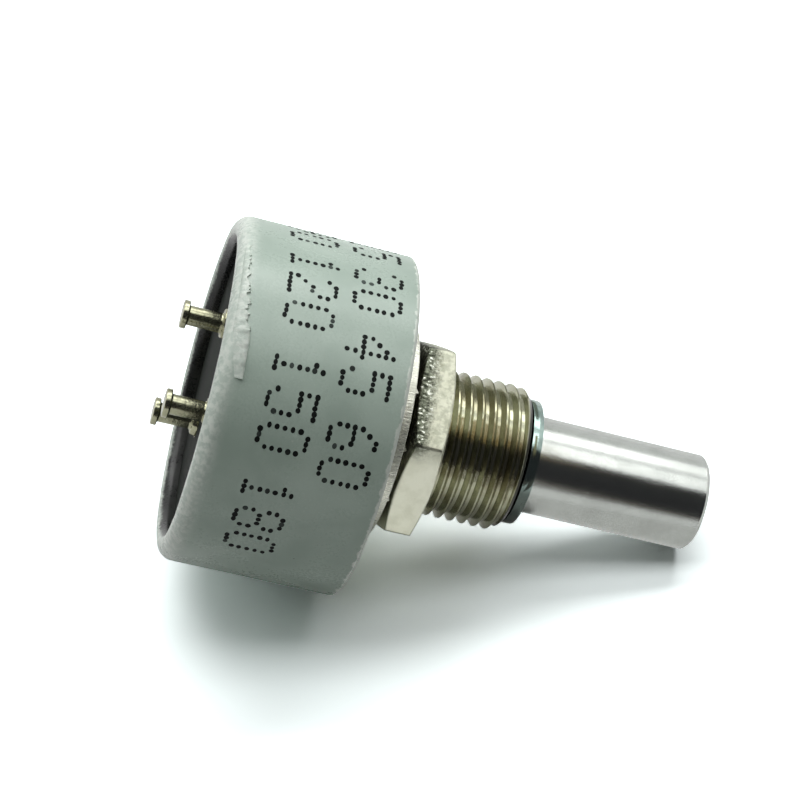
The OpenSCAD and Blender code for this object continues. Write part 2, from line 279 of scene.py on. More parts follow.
class Surface(Graph):
    """A material on Object coordinates in millimetres, with one Principled shader."""

    def __init__(self, name: str) -> None:
        """Starts the material with its shader and coordinates.

        Args:
            name: The material's name.
        """
        self.material = bpy.data.materials.new(name)
        self.material.use_nodes = True
        super().__init__(self.material.node_tree)
        self.tree.nodes.clear()
        shader = self.node("ShaderNodeBsdfPrincipled")
        self.shader = shader.socket.node
        self.node("ShaderNodeOutputMaterial", None, {"Surface": shader})
        place = self.node("ShaderNodeTexCoord", None, None, "Object")
        self.mm = self.node("ShaderNodeVectorMath", {"operation": "SCALE"}, {0: place, "Scale": 1 / MM})
        self.x, self.y, self.z = self.axes(self.mm)

    def set(self, **sockets: Any) -> None:
        """Sets or links the shader's inputs, with _ for a space in a name."""
        for name, value in sockets.items():
            self.feed(self.shader.inputs[name.replace("_", " ")], value)

    def grain(self, scale: float, stretch: Corner = (1, 1, 1), detail: float = 3, shift: float = 0) -> Val:
        """Adds a noise over the piece.

        Args:
            scale: Cycles for each millimetre.
            stretch: Factors on the three axes.
            detail: Octaves of the noise.
            shift: Offset that makes two noises differ.

        Returns:
            The noise, about 0.5 on average.
        """
        place = self.node("ShaderNodeMapping", None,
                          {"Vector": self.mm, "Location": (shift, shift, shift), "Scale": stretch})
        return self.node("ShaderNodeTexNoise", None,
                         {"Vector": place, "Scale": scale, "Detail": detail, "Roughness": 0.55}, "Fac")

    def specks(self, scale: float, size: float, share: float, shift: float = 0) -> Val:
        """Adds sparse round specks.

        Args:
            scale: Cells for each millimetre.
            size: Radius of a speck as a part of a cell.
            share: Part of the cells that hold one.
            shift: Offset of the pattern.

        Returns:
            1 in the specks and 0 elsewhere.
        """
        place = self.vector("ADD", self.mm, (shift, shift, shift))
        near = self.node("ShaderNodeTexVoronoi", None, {"Vector": place, "Scale": scale}, "Distance")
        pick = self.axes(near.also("Color"))[0]
        return (1 - near.step(size * 0.6, size)) * (pick < share)

    def bump(self, height: Val, microns: float) -> None:
        """Feeds a height, from 0 to 1, to the shader's normal.

        Args:
            height: The height.
            microns: Its full depth in micrometres.
        """
        self.set(Normal=self.node("ShaderNodeBump", None,
                                  {"Strength": 1.0, "Distance": microns * 1e-6, "Height": height}))


class Grain(Enum):
    """How a metal was worked, as the stretch of its grain along and across the shaft's axis."""

    GROUND = (2.0, 1.0, 1.0)
    PLATED = (1.0, 1.0, 1.0)
    SHEARED = (0.35, 2.0, 2.0)
    ROLLED = (0.5, 1.6, 0.8)


@dataclass(frozen=True)
class Metal:
    """A metal finish with grain, tarnish and dings.

    It has painted shade: near black in front of end_shade_from, grey below shade_below, both in millimetres.
    """

    name: str
    colour: Colour
    tarnish: Colour
    roughness: float
    spread: float
    grain: Grain
    scale: float
    depth: float
    patchy: float = 0.4
    dings: float = 0.03
    contrast: float = 0.35
    # Painted shade: near black in front of end_shade_from.
    end_shade_from: float = FAR
    metallic: float = 1.0
    # Painted shade: grey on the lower side, below shade_below.
    shade_below: float = -FAR
    # Tone of the painted shade in front of end_shade_from.
    end_shade: Colour = tone(14, 14, 12)
    # Tone of the painted shade on the lower side.
    low_shade: Colour = tone(56, 58, 52)
    bare: Colour = (0.9, 0.9, 0.88, 1)

    def material(self) -> bpy.types.Material:
        """Makes the finish's material.

        Returns:
            The material.
        """
        skin = Surface(self.name)
        fine = skin.grain(self.scale, self.grain.value, detail=4)
        broad = skin.grain(0.55, detail=4, shift=7.3)
        patch = broad.step(0.42, 0.68) * self.patchy
        nick = skin.specks(1.5, size=0.09, share=self.dings, shift=3.1)
        # Painted shade on the lower side, below shade_below.
        low_shade_mask = 1 - (skin.z + (broad - 0.5) * 2).step(self.shade_below - 1.2, self.shade_below)
        base = skin.blend(patch, self.colour, self.tarnish)
        base = skin.blend((fine - 0.5) * self.contrast + 0.1, base, self.tarnish)
        # Painted shade: near black in front of end_shade_from.
        base = skin.blend(skin.x.step(self.end_shade_from, self.end_shade_from + 0.12) * 0.93, base, self.end_shade)
        # Painted shade: grey on the lower side.
        base = skin.blend(low_shade_mask * 0.8, base, self.low_shade)
        base = skin.blend(nick * 0.6, base, self.bare)
        skin.set(Base_Color=base, Metallic=self.metallic,
                 Roughness=self.roughness + (fine - 0.5) * self.spread + patch * 0.12 + nick * 0.1)
        skin.bump(fine + nick * 0.6, self.depth)
        return skin.material


@dataclass(frozen=True)
class NutPlate:
    """The nut's cream plating, pitted along the rear of the upper flats and smooth elsewhere.

    The upper flats face the Y and Z of facing.
    """

    name: str
    colour: Colour
    shade: Colour
    roughness: float
    facing: Point = (0.546, 0.838)
    stain: Colour = tone(150, 154, 134)
    pit: Colour = tone(50, 54, 45)
    pit_wall: Colour = tone(126, 132, 115)
    glint: Colour = tone(226, 230, 220)
    # Painted shade on the rear bevel, next to the washer.
    bevel_shade: Colour = tone(56, 55, 46)
    pit_depth: float = 60

    def material(self) -> bpy.types.Material:
        """Makes the plating's material.

        Returns:
            The material.
        """
        skin = Surface(self.name)
        pits = skin.grain(4.6, (0.7, 1, 1), detail=5)
        fine = skin.grain(9, shift=4.1)
        cloud = skin.grain(0.9, detail=4, shift=2)
        mottle = skin.grain(2.2, detail=5, shift=8.4)
        upper = (skin.z * self.facing[1] + skin.y * self.facing[0]).step(-1.2, 0.5)
        rear = 1 - (skin.x + (fine - 0.5) * 1.4).step(2.05, 3.0)
        pitted = upper * (0.1 + 0.88 * rear)
        shine = pitted * pits.step(0.57, 0.64)
        # Mask of the rear bevel, where painted shade goes.
        bevel = 1 - (skin.x + (pits - 0.5) * 0.2).step(1.66, 1.9)
        base = skin.blend(cloud.step(0.4, 0.7) * 0.5, self.colour, self.shade)
        base = skin.blend(upper * (0.25 + 0.4 * mottle.step(0.42, 0.62)), base, self.stain)
        base = skin.blend(pitted, base, skin.blend(pits.step(0.4, 0.56), self.pit, self.pit_wall))
        base = skin.blend(shine, base, self.glint)
        # Painted shade darkens the rear bevel, most on the upper flats.
        base = skin.blend(bevel * (0.3 + 0.55 * upper), base, self.bevel_shade)
        skin.set(Base_Color=base, Metallic=1.0,
                 Roughness=self.roughness + (fine - 0.5) * 0.3 + upper * 0.16 - shine * 0.3)
        skin.bump(pits * pitted + fine * 0.1, self.pit_depth)
        return skin.material


@dataclass(frozen=True)
class Moulding:
    """A moulded plastic with cloudy tone, specks and paler edges, partly worn and partly painted light.

    A paler band, partly wear and partly painted light, grows from worn_lit_from to worn_lit_to and shows in
    front of lip, along the shaft's axis. Inside the radius sealed the rear is darkened by painted shade.
    """

    name: str
    colour: Colour
    shade: Colour
    # Colour of the rim band, the lip and scuffs; on the rim it is partly painted light.
    worn: Colour
    roughness: float
    cloud: float
    # Bounds of the paler rim band, which is partly wear and partly painted light.
    worn_lit_from: float = FAR
    worn_lit_to: float = FAR + 1
    depth: float = 6
    gloss: float = 0.4
    # Radius and front limit inside which painted shade darkens the cup's rear.
    shade_radius: float = 0
    shade_front: float = -10.3
    lip: float = FAR
    dirt: Colour = tone(70, 74, 70)
    # The two tones of the painted shade inside the cup.
    inner_shade: tuple[Colour, Colour] = (tone(16, 18, 17), tone(52, 55, 52))

    def material(self) -> bpy.types.Material:
        """Makes the moulding's material.

        Returns:
            The material.
        """
        skin = Surface(self.name)
        cloud = skin.grain(0.32, detail=5)
        fine = skin.grain(6, detail=4, shift=5.2)
        ragged = skin.grain(1.6, detail=4, shift=9)
        mottle = skin.grain(2.8, detail=5, shift=12.6)
        edge = (skin.x + (ragged - 0.5) * 0.7).step(self.lip, self.lip + 0.12)
        # The rim's paler band: partly wear, partly painted light.
        wear = skin.x.step(self.worn_lit_from, self.worn_lit_to) * (0.42 + 0.58 * mottle.step(0.4, 0.62))
        dirt = skin.specks(0.9, size=0.055, share=0.2, shift=1.7)
        scuff = skin.specks(0.45, size=0.06, share=0.16, shift=6.2)
        base = skin.blend(cloud.step(0.3, 0.7) * self.cloud, self.colour, self.shade)
        base = skin.blend(fine.step(0.55, 0.8) * 0.25, base, self.shade)
        # Paler rim band and lip, partly wear and partly painted light.
        base = skin.blend(wear.math("MAXIMUM", edge), base, self.worn)
        base = skin.blend(dirt * 0.5, base, self.dirt)
        base = skin.blend(scuff * 0.45, base, self.worn)
        # Painted shade: the cup's rear inside the radius is darkened where the hollow lies in shade.
        if self.shade_radius:
            away = (skin.y * skin.y + skin.z * skin.z) ** 0.5 + (fine - 0.5) * 0.3 + (cloud - 0.5) * 0.5
            inside = 1 - away.step(self.shade_radius - 0.12, self.shade_radius + 0.12)
            behind = 1 - skin.x.step(self.shade_front - 0.1, self.shade_front)
            base = skin.blend(inside * behind, base, skin.blend(cloud.step(0.4, 0.7), *self.inner_shade))
        skin.set(Base_Color=base, Specular_IOR_Level=self.gloss,
                 Roughness=self.roughness + (cloud - 0.5) * 0.2 + (fine - 0.5) * 0.12)
        skin.bump(fine + cloud * 2, self.depth)
        return skin.material


@dataclass(frozen=True)
class Ink:
    """A printed ink whose dots fade into the moulding by their own attribute."""

    name: str
    colour: Colour
    under: Colour

    def material(self) -> bpy.types.Material:
        """Makes the ink's material.

        Returns:
            The material.
        """
        skin = Surface(self.name)
        fade = skin.node("ShaderNodeAttribute", {"attribute_name": "fade"}, None, "Fac")
        fine = skin.grain(14)
        thin = fade.step(0.88, 1.0) * 0.5 + fine.step(0.6, 0.8) * 0.3
        skin.set(Base_Color=skin.blend(thin, self.colour, self.under),
                 Roughness=0.55 + fine * 0.2, Specular_IOR_Level=0.15)
        skin.bump(fine, microns=2)
        return skin.material


@dataclass(frozen=True)
class Layer:
    """A flat inner layer: laminate, carbon track or silver conductor."""

    name: str
    colour: Colour
    shade: Colour
    roughness: float
    metallic: float
    scale: float

    def material(self) -> bpy.types.Material:
        """Makes the layer's material.

        Returns:
            The material.
        """
        skin = Surface(self.name)
        weave = skin.grain(self.scale, (0.3, 1, 1), detail=4)
        skin.set(Base_Color=skin.blend(weave.step(0.35, 0.7), self.colour, self.shade),
                 Metallic=self.metallic, Roughness=self.roughness + (weave - 0.5) * 0.2)
        skin.bump(weave, microns=3)
        return skin.material


# Its pale worn band on the rim is partly painted light.
# sealed sets painted shade inside the cup's rear.
CASE_GREY_GREEN = Moulding(
    "case_grey_green", tone(188, 206, 193), tone(168, 187, 174), tone(228, 237, 227), roughness=0.28,
    cloud=0.8, worn_lit_from=-9.9, worn_lit_to=-11.0, gloss=0.42, shade_radius=9.8, lip=-0.3)
FLASH_PALE = Moulding(
    "flash_pale", tone(186, 203, 190), tone(172, 190, 177), tone(230, 239, 229), roughness=0.5, cloud=0.9,
    worn_lit_from=-1, worn_lit_to=-2, depth=30)
PRINT_BLACK = Ink("print_black", tone(8, 14, 12), tone(100, 112, 106))
TERMINAL_NICKEL = Metal(
    "terminal_nickel", tone(176, 177, 150), tone(108, 104, 76), roughness=0.2, spread=0.2,
    grain=Grain.PLATED, scale=5, depth=14)
# Painted shade darkens the thread's front end from end_shade_from on, where the gap before the ring lies in
# shade.
BUSHING_NICKEL = Metal(
    "bushing_nickel", tone(186, 188, 164), tone(122, 112, 80), roughness=0.16, spread=0.16,
    grain=Grain.PLATED, scale=5, depth=9, patchy=0.5, end_shade_from=9.24)
NUT_CREAM = NutPlate("nut_cream", tone(232, 234, 216), tone(206, 208, 186), roughness=0.34)
WASHER_STEEL = Metal(
    "washer_steel", tone(244, 246, 232), tone(128, 132, 115), roughness=0.28, spread=0.3,
    grain=Grain.SHEARED, scale=5, depth=40, patchy=0.3, contrast=1.6, metallic=0.6)
SHAFT_STAINLESS = Metal(
    "shaft_stainless", tone(203, 208, 203), tone(160, 163, 158), roughness=0.17, spread=0.14,
    grain=Grain.GROUND, scale=7, depth=9, patchy=0.25, dings=0.02, contrast=1.1)
# Painted shade darkens the ring's lower side, below shade_below.
RING_PASSIVATED = Metal(
    "ring_passivated", tone(176, 198, 191), tone(104, 114, 110), roughness=0.12, spread=0.14,
    grain=Grain.ROLLED, scale=4, depth=6, patchy=0.5, shade_below=1.8)
COVER_DARK = Moulding(
    "cover_dark", tone(13, 17, 13), tone(31, 37, 32), tone(54, 60, 54), roughness=0.7, cloud=0.9, gloss=0.12)
ROTOR_BROWN = Moulding(
    "rotor_brown", tone(112, 88, 58), tone(92, 70, 46), tone(130, 106, 74), roughness=0.5, cloud=0.8)
BASE_LAMINATE = Layer(
    "base_laminate", tone(176, 156, 110), tone(150, 130, 88), roughness=0.5, metallic=0.0, scale=8)
CARBON_TRACK = Layer(
    "carbon_track", tone(26, 26, 28), tone(44, 44, 46), roughness=0.4, metallic=0.0, scale=20)
SILVER_CONDUCTOR = Layer(
    "silver_conductor", tone(200, 198, 190), tone(160, 158, 150), roughness=0.35, metallic=1.0, scale=12)
SPRING_BRONZE = Metal(
    "spring_bronze", tone(202, 170, 110), tone(150, 118, 70), roughness=0.28, spread=0.2,
    grain=Grain.ROLLED, scale=5, depth=4)
BRUSH_ALLOY = Metal(
    "brush_alloy", tone(220, 212, 196), tone(170, 160, 140), roughness=0.25, spread=0.2,
    grain=Grain.ROLLED, scale=6, depth=3)
THRUST_BRONZE = Metal(
    "thrust_bronze", tone(198, 164, 104), tone(140, 108, 62), roughness=0.3, spread=0.2,
    grain=Grain.GROUND, scale=5, depth=3)
INNER_FINISHES = {
    "rear_cover": COVER_DARK, "element_base": BASE_LAMINATE, "resistive_track": CARBON_TRACK,
    "collector_ring": SILVER_CONDUCTOR, "track_end_1": SILVER_CONDUCTOR, "track_end_3": SILVER_CONDUCTOR,
    "rotor": ROTOR_BROWN, "wiper_carrier": SPRING_BRONZE, "track_brush": BRUSH_ALLOY,
    "collector_brush": BRUSH_ALLOY, "front_thrust_washer": THRUST_BRONZE, "rear_thrust_washer": THRUST_BRONZE}


def fillet(corners: Sequence[Corner], closed: bool = True, steps: int = 5) -> list[Point]:
    """Rounds the corners of an outline, with a supporting point beside each rounding.

    Args:
        corners: Radius from the axis, place along it and rounding of each corner.
        closed: Whether the last corner joins the first.
        steps: Pieces in each rounding.

    Returns:
        The rounded outline. Every corner gives the same number of points.
    """
    least_turn, side_share, beside = 0.02, 0.44, 1.1
    outline: list[Point] = []
    count = len(corners)
    for i, (r, x, radius) in enumerate(corners):
        here = Vector((r, x))
        if not closed and i in (0, count - 1):
            outline.append((r, x))
            continue
        back = Vector(corners[i - 1][:2]) - here
        ahead = Vector(corners[(i + 1) % count][:2]) - here
        turn = max(back.angle(ahead, math.pi), least_turn)
        reach = min(radius / math.tan(turn / 2), side_share * back.length, side_share * ahead.length)
        first, last = here + back.normalized() * reach, here + ahead.normalized() * reach
        outline.append(tuple(here + back.normalized() * reach * beside))
        for k in range(steps + 1):
            t = k / steps
            outline.append(tuple(first * (1 - t) ** 2 + here * 2 * t * (1 - t) + last * t ** 2))
        outline.append(tuple(here + ahead.normalized() * reach * beside))
    return outline


def woven(rows: Sequence[Sequence[Vector]], closed: bool, around: bool) -> bmesh.types.BMesh:
    """Joins each outline to the next with faces.

    Args:
        rows: The outlines, all of the same length.
        closed: Whether each outline is a closed loop.
        around: Whether the last outline joins the first. If not, both ends are capped.

    Returns:
        The skin.
    """
    skin = bmesh.new()
    verts = [[skin.verts.new(p) for p in row] for row in rows]
    size = len(verts[0])
    for row, after in zip(verts, verts[1:] + (verts[:1] if around else [])):
        for j in range(size if closed else size - 1):
            k = (j + 1) % size
            skin.faces.new((row[j], row[k], after[k], after[j]))
    if not around:
        skin.faces.new(verts[0])
        skin.faces.new(verts[-1][::-1])
    return skin


def turned(rows: Sequence[Sequence[Vector]], closed: bool) -> bmesh.types.BMesh:
    """Joins outlines that stand round an axis into one skin.

    Args:
        rows: One outline for each step round the axis, all of the same length.
        closed: Whether each outline is a closed loop.

    Returns:
        The skin, with its doubles merged and its faces outward.
    """
    skin = woven(rows, closed, True)
    bmesh.ops.remove_doubles(skin, verts=skin.verts, dist=MERGE)
    bmesh.ops.dissolve_degenerate(skin, edges=skin.edges, dist=MERGE / 10)
    bmesh.ops.recalc_face_normals(skin, faces=skin.faces)
    return skin


def lathe(outline: Sequence[Point], steps: int, closed: bool = True,
          warp: Callable[[float, float, float], Point] | None = None,
          centre: Point = (0, 0)) -> bmesh.types.BMesh:
    """Turns an outline about a line along X.

    Args:
        outline: Radius and place along X of each point, in millimetres.
        steps: Steps round the axis.
        closed: Whether the outline is a closed loop.
        warp: Gives the radius and place of a point at an angle.
        centre: Y and Z of the line, in millimetres.

    Returns:
        The turned skin in metres.
    """
    rows = []
    for i in range(steps):
        angle = math.tau * i / steps
        row = []
        for r, x in outline:
            r, x = warp(r, x, angle) if warp else (r, x)
            row.append(Vector((x, centre[0] + r * math.cos(angle), centre[1] + r * math.sin(angle))) * MM)
        rows.append(row)
    return turned(rows, closed)


def settle(name: str, skin: bmesh.types.BMesh, material: bpy.types.Material,
           sharp: float = 40) -> bpy.types.Object:
    """Makes a smooth shaded object from a skin.

    Args:
        name: The object's name.
        skin: The skin, freed afterwards.
        material: Its finish.
        sharp: Angle past which an edge stays sharp, in degrees.

    Returns:
        The object at the origin.
    """
    mesh = bpy.data.meshes.new(name)
    skin.to_mesh(mesh)
    skin.free()
    mesh.shade_smooth()
    mesh.set_sharp_from_angle(angle=math.radians(sharp))
    mesh.materials.append(material)
    return linked(name, mesh)


def place(piece: bpy.types.Object, body: str, slot: str, *nodes: str) -> None:
    """Puts a piece on its body, in place of its CAD nodes.

    Args:
        piece: The finished piece.
        body: The body that it rides on.
        slot: The record's material slot; not used.
        nodes: The CAD nodes that it stands for.
    """
    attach(piece, body)
    if nodes:
        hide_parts(*nodes)
    LOG.info("%s rides on %s, %d faces", piece.name, body, len(piece.data.polygons))


class Pattern(Graph):
    """A Geometry Nodes tree with named inputs that ends as a plain mesh."""

    def __init__(self, name: str, inputs: Sequence[str]) -> None:
        """Starts the tree with its inputs and its output.

        Args:
            name: The tree's name.
            inputs: Names of its number inputs.
        """
        super().__init__(bpy.data.node_groups.new(name, "GeometryNodeTree"))
        face = self.tree.interface
        face.new_socket("Geometry", in_out="INPUT", socket_type="NodeSocketGeometry")
        for label in inputs:
            face.new_socket(label, in_out="INPUT", socket_type="NodeSocketFloat")
        face.new_socket("Geometry", in_out="OUTPUT", socket_type="NodeSocketGeometry")
        self.entry = self.tree.nodes.new("NodeGroupInput")

    def given(self, label: str) -> Val:
        """Gives one of the tree's inputs."""
        return Val(self, self.entry.outputs[label])

    def close(self, shape: Val, material: bpy.types.Material) -> None:
        """Ends the tree with its instances made real and its material set.

        Args:
            shape: The finished shape.
            material: Its finish.
        """
        real = self.node("GeometryNodeRealizeInstances", None, {0: shape})
        done = self.node("GeometryNodeSetMaterial", None, {"Geometry": real, "Material": material})
        self.node("NodeGroupOutput", None, {0: done})

    def run(self, name: str, seed: bpy.types.Mesh, values: dict[str, float]) -> bpy.types.Object:
        """Runs the tree on a mesh.

        Args:
            name: Name of the object.
            seed: Mesh that the tree starts from.
            values: The inputs by name.

        Returns:
            The object with the result as its plain mesh.
        """
        made = linked(name, seed)
        modifier = made.modifiers.new(name, "NODES")
        modifier.node_group = self.tree
        for item in self.tree.interface.items_tree:
            if item.item_type == "SOCKET" and item.in_out == "INPUT" and item.name in values:
                modifier[item.identifier] = float(values[item.name])
        graph = bpy.context.evaluated_depsgraph_get()
        mesh = bpy.data.meshes.new_from_object(made.evaluated_get(graph))
        made.modifiers.remove(modifier)
        made.data = mesh
        mesh.name = name
        return made


@dataclass
class CaseShell:
    """The moulded cup with its rolled rim and the flash left on the rim's shoulder.

    Each of flash_edges is an angle in degrees with the flash's front and rear there. Each of flash_form is a
    part of its width with a part of its height, where 0 is sunk into the rim.
    """

    radius: float = 11.1
    length: float = 11.4
    bore: float = 9.31
    opening: float = 9.51
    seat: float = 10.01
    seat_front: float = -9.1
    seat_rear: float = -10.4
    front_hole: float = 5.4
    front_wall: float = -1.9
    front_round: float = 0.25
    support: tuple[float, ...] = (-0.4, -4.0, -8.0, -10.2)
    crest: float = 10.16
    round_out: float = 0.94
    round_in: float = 0.65
    waver: float = 0.06
    waver_from: float = -10.41
    steps: int = 288
    flash_height: float = 0.16
    flash_sink: float = 0.05
    flash_steps: int = 150
    flash_corner: float = 121
    flash_edges: tuple[Corner, ...] = (
        (86, -10.72, -11.0), (96, -10.56, -11.02), (104, -10.55, -11.0), (113, -10.4, -10.98),
        (121, -10.02, -10.95), (123, -9.9, -10.92), (130, -9.84, -10.62), (136, -9.8, -10.31))
    flash_form: tuple[Point, ...] = (
        (0, 0), (0, 0.55), (0.06, 1), (0.35, 0.9), (0.7, 0.5), (1, 0.05), (1, 0), (0.5, 0))

    def shoulder(self, x: float) -> float:
        """Gives the outer radius at a place along the axis.

        Args:
            x: The place.

        Returns:
            The radius.
        """
        start = self.round_out - self.length
        if x >= start:
            return self.radius
        drop = min(start - x, self.round_out * 0.98)
        return self.crest + math.sqrt(self.round_out ** 2 - drop ** 2)

    def outline(self) -> list[Point]:
        """Gives the cup's outline, from the front hole round to the front wall's inside.

        Returns:
            Radius and place along the axis of each point.
        """
        def arc(r: float, x: float, radius: float, start: float, end: float, steps: int = 12) -> list[Point]:
            """Gives the points of a quarter round."""
            angles = [math.radians(start + (end - start) * k / steps) for k in range(steps + 1)]
            return [(r + radius * math.cos(a), x + radius * math.sin(a)) for a in angles]
        body = [(self.front_hole, 0.0), (self.radius + self.support[0], 0.0)]
        body += arc(self.radius - self.front_round, -self.front_round, self.front_round, 90, 0)
        body += [(self.radius, x) for x in self.support]
        body += arc(self.crest, self.round_out - self.length, self.round_out, 0, -90)
        body += arc(self.crest, self.round_in - self.length, self.round_in, -90, -180)
        return body + [(self.opening, self.seat_rear), (self.seat, self.seat_rear),
                       (self.seat, self.seat_front), (self.bore, self.seat_front),
                       (self.bore, self.front_wall), (self.front_hole, self.front_wall)]

    def ripple(self, r: float, x: float, angle: float) -> Point:
        """Lets the rolled rim waver slightly inward.

        Args:
            r: Radius of a point.
            x: Its place along the axis.
            angle: Its angle in radians.

        Returns:
            The new radius and place.
        """
        if r < self.opening - 0.05 or x > self.waver_from:
            return r, x
        here = Vector((math.cos(angle) * 2.2, math.sin(angle) * 2.2, x * 0.8))
        amount = min(1.0, (self.waver_from - x) / 0.5)
        sway = (noise.noise(here) + 0.6 * noise.noise(here * 3.1)) * 0.5 + 0.5
        return r, x + self.waver * amount * max(0.0, sway)

    def flash(self) -> bmesh.types.BMesh:
        """Builds the thin ragged layer that the moulding left along the shoulder.

        Returns:
            The closed skin.
        """
        keys, rows = self.flash_edges, []
        for i in range(self.flash_steps + 1):
            angle = keys[0][0] + (keys[-1][0] - keys[0][0]) * i / self.flash_steps
            low = max(k for k in range(len(keys) - 1) if keys[k][0] <= angle)
            share = (angle - keys[low][0]) / (keys[low + 1][0] - keys[low][0])
            front, rear = (keys[low][k] + share * (keys[low + 1][k] - keys[low][k]) for k in (1, 2))
            rag = 0.3 if angle < self.flash_corner else 0.03
            front += rag * noise.noise(Vector((angle * 0.5, 0.3, 0)))
            front += 0.6 * rag * noise.noise(Vector((angle * 1.7, 4, 0)))
            lift = self.flash_height * min(1.0, (angle - keys[0][0] + 1) / 14)
            lift *= 0.75 + 0.35 * noise.noise(Vector((angle * 0.5, 9, 0)))
            turn = Vector((0, math.cos(math.radians(angle)), math.sin(math.radians(angle))))
            row = []
            for part, rise in self.flash_form:
                x = front + (rear - front) * part
                reach = self.shoulder(x) + (lift * rise if rise else -self.flash_sink)
                row.append((turn * reach + Vector((x, 0, 0))) * MM)
            rows.append(row)
        skin = woven(rows, True, False)
        bmesh.ops.recalc_face_normals(skin, faces=skin.faces)
        return skin

    def dress(self, finish: Moulding, pale: Moulding) -> None:
        """Builds the cup and its flash.

        Args:
            finish: The cup's finish.
            pale: The flash's finish.
        """
        cup = lathe(self.outline(), self.steps, True, self.ripple)
        place(settle("case_shell", cup, finish.material()), "housing", "case_moulding", "case")
        place(settle("rim_flash", self.flash(), pale.material(), 60), "housing", "case_moulding")


class Digit(Enum):
    """Digits of the dotted print, as seven rows of five places from top to bottom."""

    ZERO = ("0", "01110 10001 10001 10001 10001 10001 01110")
    ONE = ("1", "00100 01100 00100 00100 00100 00100 01110")
    TWO = ("2", "01110 10001 00001 00110 01000 10000 11111")
    THREE = ("3", "01110 10001 00001 00110 00001 10001 01110")
    FOUR = ("4", "00010 00110 01010 10010 11111 00010 00010")
    FIVE = ("5", "11111 10000 11110 00001 00001 10001 01110")
    SIX = ("6", "00110 01000 10000 11110 10001 10001 01110")
    EIGHT = ("8", "01110 10001 10001 01110 10001 10001 01110")
    NINE = ("9", "01110 10001 10001 01111 00001 00010 01100")


@dataclass
class DegreePrint:
    """Two rows of plain degree numbers printed in dots round the case.

    Each of rows is its numbers, the angle of the first in degrees and its middle along the axis.
    """

    radius: float = 11.104
    rows: tuple[tuple[str, float, float], ...] = (("90 120 150 180", 56.5, -6.7),
                                                  ("0 15 30 45 60", 39.0, -2.7))
    step: float = 11.2
    space: float = 6.2
    pitch_along: float = 0.475
    pitch_round: float = 0.335
    middle_row: int = 3
    dot: float = 0.158
    dot_sides: int = 12
    thickness: float = 0.006
    jitter: float = 0.03
    long: Point = (0.82, 1.12)
    wide: Point = (0.95, 1.25)
    seed: int = 11

    def points(self) -> bpy.types.Mesh:
        """Lays out the places of the dots on the case.

        Returns:
            A mesh with one point for each dot.
        """
        shapes = {digit.value[0]: digit.value[1].split() for digit in Digit}
        places = []
        for text, start, middle in self.rows:
            for i, sign in enumerate(text):
                turn = start + i * self.step + text[:i].count(" ") * (self.space - self.step)
                marks = [(row, column) for row, line in enumerate(shapes.get(sign, ()))
                         for column, mark in enumerate(line) if mark == "1"]
                for row, column in marks:
                    around = math.radians(turn) + column * self.pitch_round / self.radius
                    x = middle + (self.middle_row - row) * self.pitch_along
                    y, z = self.radius * math.cos(around), self.radius * math.sin(around)
                    places.append(Vector((x, y, z)) * MM)
        mesh = bpy.data.meshes.new("dot_places")
        mesh.from_pydata(places, [], [])
        return mesh

    def pattern(self, material: bpy.types.Material) -> Pattern:
        """Builds the tree that puts a flat dot on each place.

        Args:
            material: The ink.

        Returns:
            The tree.
        """
        tree = Pattern("printed_dots", ("Radius", "Thickness", "Jitter"))

        def chance(low: float, high: float, offset: int) -> Val:
            """Adds a seeded random number."""
            return tree.node("FunctionNodeRandomValue", {"data_type": "FLOAT"},
                             {"Min_001": low, "Max_001": high, "Seed": self.seed + offset}, "Value_001")
        shift = tree.joined(chance(-1.0, 1.0, 1) * tree.given("Jitter"))
        spread = tree.node("GeometryNodeSetPosition", None,
                           {"Geometry": tree.given("Geometry"), "Offset": shift})
        dot = tree.node("GeometryNodeMeshCylinder", {"fill_type": "NGON"},
                        {"Vertices": self.dot_sides, "Radius": tree.given("Radius"),
                         "Depth": tree.given("Thickness")}, "Mesh")
        out = tree.vector("MULTIPLY", tree.node("GeometryNodeInputPosition"), (0, 1, 1))
        aim = tree.node("FunctionNodeAlignRotationToVector", {"axis": "Z"}, {"Vector": out})
        grow = tree.joined(chance(*self.long, 2), chance(*self.wide, 3), 1.0)
        dots = tree.node("GeometryNodeInstanceOnPoints", None,
                         {"Points": spread, "Instance": dot, "Rotation": aim, "Scale": grow})
        faded = tree.node("GeometryNodeStoreNamedAttribute", {"data_type": "FLOAT", "domain": "INSTANCE"},
                          {"Geometry": dots, "Name": "fade", "Value": chance(0.0, 1.0, 4)})
        tree.close(faded, material)
        return tree

    def dress(self, finish: Ink) -> None:
        """Builds the print.

        Args:
            finish: Its ink.
        """
        sizes = {"Radius": self.dot, "Thickness": self.thickness, "Jitter": self.jitter}
        made = self.pattern(finish.material()).run("degree_print", self.points(),
                                                   {label: size * MM for label, size in sizes.items()})
        place(made, "housing", "carbon_ink")


